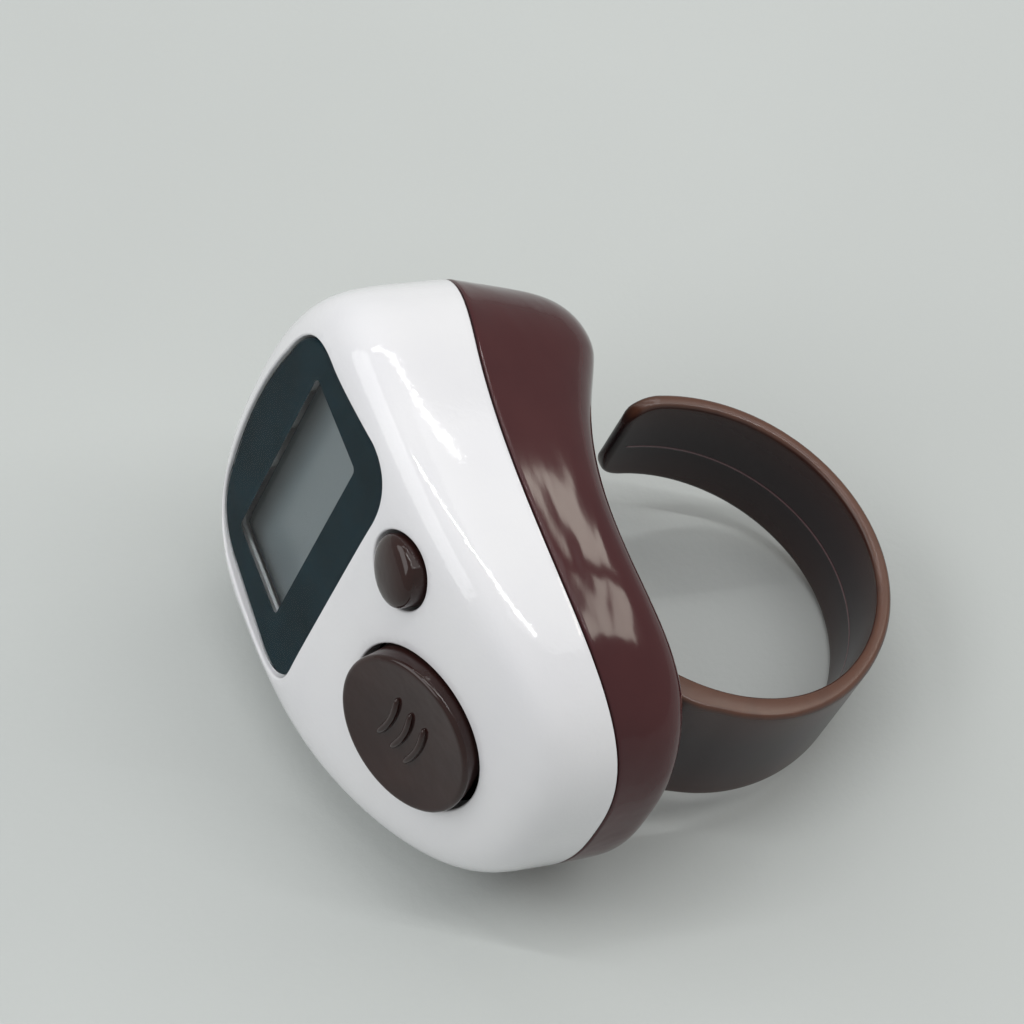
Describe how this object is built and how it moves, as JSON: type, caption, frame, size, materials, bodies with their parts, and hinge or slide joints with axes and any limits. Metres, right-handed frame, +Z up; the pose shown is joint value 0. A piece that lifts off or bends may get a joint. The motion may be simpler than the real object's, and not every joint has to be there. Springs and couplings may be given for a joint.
{
  "type": "digital finger counter",
  "caption": "Finger-worn tally counter with a display, a large sprung count button and a small reset button on an open band.",
  "frame": {"origin": "bottom centre of the box around the counter as it lies on its side on a table, on two spots of its flank and the lower edge of its finger band", "axes": "+Z up from the table, +X from the display end towards the count button end, +Y from the face back towards the finger band; the face looks along -Y and about 19 degrees upwards"},
  "size_m": [0.0342, 0.037, 0.0273],
  "materials": {
    "shell_white": "gloss white ABS",
    "shell_brown": "gloss brown ABS",
    "button_brown": "gloss dark brown ABS",
    "band_brown": "satin brown moulding",
    "lens": "clear window with a dark printed border",
    "lcd_glass": "polished glass",
    "film": "polarising film",
    "tape": "double-sided tape",
    "moulding": "moulded",
    "zebra": "silicone",
    "board": "solder-masked laminate",
    "resin": "cast resin",
    "ceramic": "fired ceramic",
    "steel": "nickel plated",
    "gasket": "moulded"
  },
  "bodies": {
    "housing": {"front_cover": "shell_white", "rear_cover": "shell_brown", "finger_band": "band_brown", "display_lens": "lens", "lens_tape": "tape", "lcd_front_film": "film", "lcd_front_glass": "lcd_glass", "lcd_rear_glass": "lcd_glass", "lcd_rear_film": "film", "lcd_holder": "moulding", "zebra_strip": "zebra", "circuit_board": "board", "chip_resin": "resin", "capacitor": "ceramic", "resistor": "resin", "count_switch_base": "moulding", "count_switch_cover": "steel", "reset_switch_base": "moulding", "reset_switch_cover": "steel", "battery_can": "steel", "battery_gasket": "gasket", "battery_cap": "steel", "battery_strap": "steel", "battery_spring": "steel", "housing_screw_1": "steel", "housing_screw_2": "steel", "housing_screw_3": "steel", "board_screw_1": "steel", "board_screw_2": "steel"},
    "count_button": {"count_button": "button_brown"},
    "count_plunger": {"count_switch_plunger": "moulding"},
    "reset_button": {"reset_button": "button_brown"},
    "reset_plunger": {"reset_switch_plunger": "moulding"}
  },
  "joints": [
    {"name": "count_press", "type": "slide", "parent": "housing", "child": "count_button", "axis": [-0.3612, 0.892, -0.2717], "range_m": [0, 0.0005], "stiffness_N_per_m": 800},
    {"name": "count_plunger_press", "type": "slide", "parent": "housing", "child": "count_plunger", "axis": [0, 0.9437, -0.3307], "range_m": [0, 0.0005]},
    {"name": "reset_press", "type": "slide", "parent": "housing", "child": "reset_button", "axis": [0, 0.9437, -0.3307], "range_m": [0, 0.00045], "stiffness_N_per_m": 800},
    {"name": "reset_plunger_press", "type": "slide", "parent": "housing", "child": "reset_plunger", "axis": [0, 0.9437, -0.3307], "range_m": [0, 0.00045]}
  ],
  "couplings": [
    {"joint": "count_plunger_press", "follows": "count_press", "ratio": 0.93169},
    {"joint": "reset_plunger_press", "follows": "reset_press", "ratio": 1}
  ]
}
